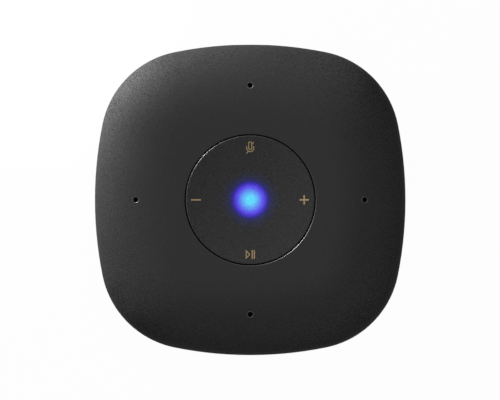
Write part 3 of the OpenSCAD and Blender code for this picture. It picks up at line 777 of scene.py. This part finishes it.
def turned(points, faces, profile, x, y):
    """Adds a closed turned solid at x, y from a profile of radius and height."""
    start, last = len(points), len(profile) - 1
    for r, z in profile[1:-1]:
        for i in range(turn_steps):
            turn = math.tau * i / turn_steps
            points.append((x + r * math.cos(turn), y + r * math.sin(turn), z))
    low, high = len(points), len(points) + 1
    points.extend([(x, y, profile[0][1]), (x, y, profile[last][1])])
    rows = last - 1
    for i in range(turn_steps):
        j = (i + 1) % turn_steps
        faces.append([low, start + j, start + i])
        for row in range(rows - 1):
            a, b = start + row * turn_steps, start + (row + 1) * turn_steps
            faces.append([a + i, a + j, b + j, b + i])
        top = start + (rows - 1) * turn_steps
        faces.append([high, top + i, top + j])


thread_z = screw_high.z - thread_len
threads = [
    (r, thread_z + (turn + half) * thread_pitch)
    for turn in range(int(thread_len / thread_pitch) - 1)
    for r, half in ((core_r, 0.0), (shank_r, 0.5))
]
screw_profile = [
    (0, screw_low.z),
    *((r * head_r, screw_low.z + height * head_t) for r, height in head_curve),
    (head_r, seat_z),
    (shank_r, seat_z),
    (shank_r, thread_z - 0.5 * thread_pitch),
    *threads,
    (tip_r, screw_high.z),
    (0, screw_high.z),
]
screw_points, screw_faces, recess_points, recess_faces = [], [], [], []
for x in (-screw_c, screw_c):
    for y in (-screw_c, screw_c):
        turned(screw_points, screw_faces, screw_profile, x, y)
        mouth = plus_outline(x, y, recess_arm, recess_stroke)
        bottom = [(x + recess_taper * (px - x), y + recess_taper * (py - y)) for px, py in mouth]
        prism(recess_points, recess_faces, [(*p, screw_low.z - recess_past) for p in mouth],
              [(*p, screw_low.z + recess_depth) for p in bottom])
screws = solid("housing_screw_set", screw_points, screw_faces, screw_steel, "housing")
recess = solid("screw_recess", recess_points, recess_faces, screw_steel, "housing")
cut = screws.modifiers.new("recess", "BOOLEAN")
cut.object = recess
cut.solver = "EXACT"
recessed = screws.evaluated_get(bpy.context.evaluated_depsgraph_get())
screws.data = bpy.data.meshes.new_from_object(recessed)
screws.modifiers.clear()
bpy.data.objects.remove(recess)
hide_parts("housing_screws")


# Floor and air: a pale table top that reads as white to the camera and in reflections, and keeps
# a faint shadow. The room above it is dim and adds only a little light.
def seen_rays(tree):
    """One for rays that show a background: straight to the camera, mirrored or refracted."""
    names = ("Is Camera Ray", "Is Glossy Ray", "Is Transmission Ray")
    camera, glossy, clear = (Wire(tree).add("ShaderNodeLightPath", output=name) for name in names)
    return camera + glossy + clear


floor_half = 20.0
floor_z = -0.02 * mm
floor_colour = (0.38, 0.38, 0.38)
floor_white = 0.975
floor_mesh = bpy.data.meshes.new("floor")
floor_corners = [(*corner, floor_z) for corner in bar(-floor_half, floor_half, -floor_half, floor_half)]
floor_mesh.from_pydata(floor_corners, [], [range(4)])
floor_finish, shader, place = new_finish("floor_pale", {"Specular IOR Level": 0.0})
speckle = noise(place, 3 * mm)
feed(shader, {"Base Color": speckle.between(shade(floor_colour, 0.98), shade(floor_colour, 1.02))})
tree = floor_finish.node_tree
table = Wire(tree, shader.outputs["BSDF"])
white = table.add("ShaderNodeEmission", {}, {"Color": (1, 1, 1, 1), "Strength": 1.0})
both = table.add("ShaderNodeMixShader", {}, {0: floor_white * seen_rays(tree), 1: table, 2: white})
tree.links.new(both.socket, tree.nodes["Material Output"].inputs["Surface"])
floor_mesh.materials.append(floor_finish)
floor_object = bpy.data.objects.new("floor", floor_mesh)
bpy.context.scene.collection.objects.link(floor_object)

air_level = 0.08
air = bpy.data.worlds.new("air")
bpy.context.scene.world = air
air.use_nodes = True
air.node_tree.nodes["Background"].inputs["Color"].default_value = (1.0, 1.0, 1.0, 1.0)
air.node_tree.nodes["Background"].inputs["Strength"].default_value = air_level


# Lamps: a softbox overhead, a low one at the rear left that picks out the crown, and a small one
# close to that corner. A lamp's level is how bright a white card in the unit's place looks when it
# is turned to face the lamp.
def softbox(name, azimuth, zenith, distance, size, level):
    """A round lamp turned to the unit, by degrees round the upright axis and degrees down from it."""
    lamp = bpy.data.lights.new(name, "AREA")
    lamp.shape = "DISK"
    lamp.size = size
    lamp.energy = level * (math.pi * distance) ** 2
    turn, tilt = math.radians(azimuth), math.radians(zenith)
    towards = Vector((math.sin(tilt) * math.cos(turn), math.sin(tilt) * math.sin(turn), math.cos(tilt)))
    stand = bpy.data.objects.new(name, lamp)
    stand.location = towards * distance
    stand.rotation_euler = towards.to_track_quat("Z", "Y").to_euler()
    stand.visible_camera = False
    bpy.context.scene.collection.objects.link(stand)


softbox("overhead_softbox", azimuth=0, zenith=0, distance=1.6, size=1.4, level=0.745)
softbox("low_softbox", azimuth=136, zenith=80, distance=2.4, size=0.5, level=1.92)
softbox("corner_softbox", azimuth=139, zenith=77, distance=0.13, size=0.03, level=1.2)


# Camera: straight above the unit on a long lens, with the rear of the unit at the top. The width
# of the view is measured at the height of the waist, where the housing is widest.
view_w = 193.16 * mm
view_off = (-0.08 * mm, -0.06 * mm)
view_height = 6.0
waist_z = 23 * mm
camera = bpy.data.cameras.new("camera")
camera.sensor_width = 36.0
camera.lens = camera.sensor_width * (view_height - waist_z) / view_w
camera.clip_end = 100.0
tripod = bpy.data.objects.new("camera", camera)
tripod.location = (*view_off, view_height)
bpy.context.scene.collection.objects.link(tripod)
bpy.context.scene.camera = tripod
bpy.context.scene.view_settings.view_transform = "Standard"
